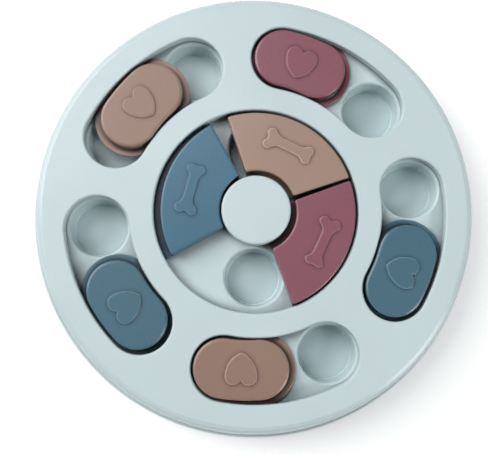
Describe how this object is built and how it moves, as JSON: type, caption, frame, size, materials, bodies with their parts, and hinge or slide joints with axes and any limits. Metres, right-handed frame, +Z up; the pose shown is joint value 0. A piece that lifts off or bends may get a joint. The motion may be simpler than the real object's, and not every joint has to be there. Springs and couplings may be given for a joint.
{
  "type": "dog puzzle feeder",
  "caption": "Round treat puzzle for dogs: a tray of cups under a slotted cover, with heart and bone sliders that travel round the slots and the centre to hide or show the treats",
  "frame": {"origin": "on the table, under the middle of the tray", "axes": "+Z up out of the cover's face; +X and +Y across the tray, with the first slot's middle 18 degrees round from +X towards +Y"},
  "size_m": [0.25, 0.25, 0.0312],
  "materials": {
    "shell": "moulded, semi-matt",
    "slider_tan": "moulded, semi-matt",
    "slider_blue": "moulded, semi-matt",
    "slider_mauve": "moulded, semi-matt",
    "foot_rubber": "matt",
    "screw_steel": "zinc plated"
  },
  "bodies": {
    "root": {"base_tray": "shell", "treat_cups": "shell", "top_cover": "shell", "centre_cap": "shell", "centre_screw": "screw_steel", "cover_screws": "screw_steel", "foot_1": "foot_rubber", "foot_2": "foot_rubber", "foot_3": "foot_rubber", "foot_4": "foot_rubber", "foot_5": "foot_rubber"},
    "heart_slider_1_body": {"heart_slider_1": "slider_mauve"},
    "heart_slider_2_body": {"heart_slider_2": "slider_tan"},
    "heart_slider_3_body": {"heart_slider_3": "slider_blue"},
    "heart_slider_4_body": {"heart_slider_4": "slider_tan"},
    "heart_slider_5_body": {"heart_slider_5": "slider_blue"},
    "bone_slider_1_body": {"bone_slider_1": "slider_tan"},
    "bone_slider_2_body": {"bone_slider_2": "slider_blue"},
    "bone_slider_3_body": {"bone_slider_3": "slider_mauve"}
  },
  "joints": [
    {"name": "heart_slider_1_travel", "type": "hinge", "parent": "root", "child": "heart_slider_1_body", "pos_m": [0, 0, 0], "axis": [0, 0, 1], "range_deg": [-24.6, 0.9]},
    {"name": "heart_slider_2_travel", "type": "hinge", "parent": "root", "child": "heart_slider_2_body", "pos_m": [0, 0, 0], "axis": [0, 0, 1], "range_deg": [-17.2, 8.3]},
    {"name": "heart_slider_3_travel", "type": "hinge", "parent": "root", "child": "heart_slider_3_body", "pos_m": [0, 0, 0], "axis": [0, 0, 1], "range_deg": [-24.4, 1.8]},
    {"name": "heart_slider_4_travel", "type": "hinge", "parent": "root", "child": "heart_slider_4_body", "pos_m": [0, 0, 0], "axis": [0, 0, 1], "range_deg": [-0.5, 25.3]},
    {"name": "heart_slider_5_travel", "type": "hinge", "parent": "root", "child": "heart_slider_5_body", "pos_m": [0, 0, 0], "axis": [0, 0, 1], "range_deg": [-1, 24.7]},
    {"name": "bone_slider_1_travel", "type": "hinge", "parent": "root", "child": "bone_slider_1_body", "pos_m": [0, 0, 0], "axis": [0, 0, 1], "continuous": true},
    {"name": "bone_slider_2_travel", "type": "hinge", "parent": "bone_slider_1_body", "child": "bone_slider_2_body", "pos_m": [0, 0, 0], "axis": [0, 0, 1], "range_deg": [-10.3, 40]},
    {"name": "bone_slider_3_travel", "type": "hinge", "parent": "bone_slider_1_body", "child": "bone_slider_3_body", "pos_m": [0, 0, 0], "axis": [0, 0, 1], "range_deg": [-40, 0.9]}
  ]
}
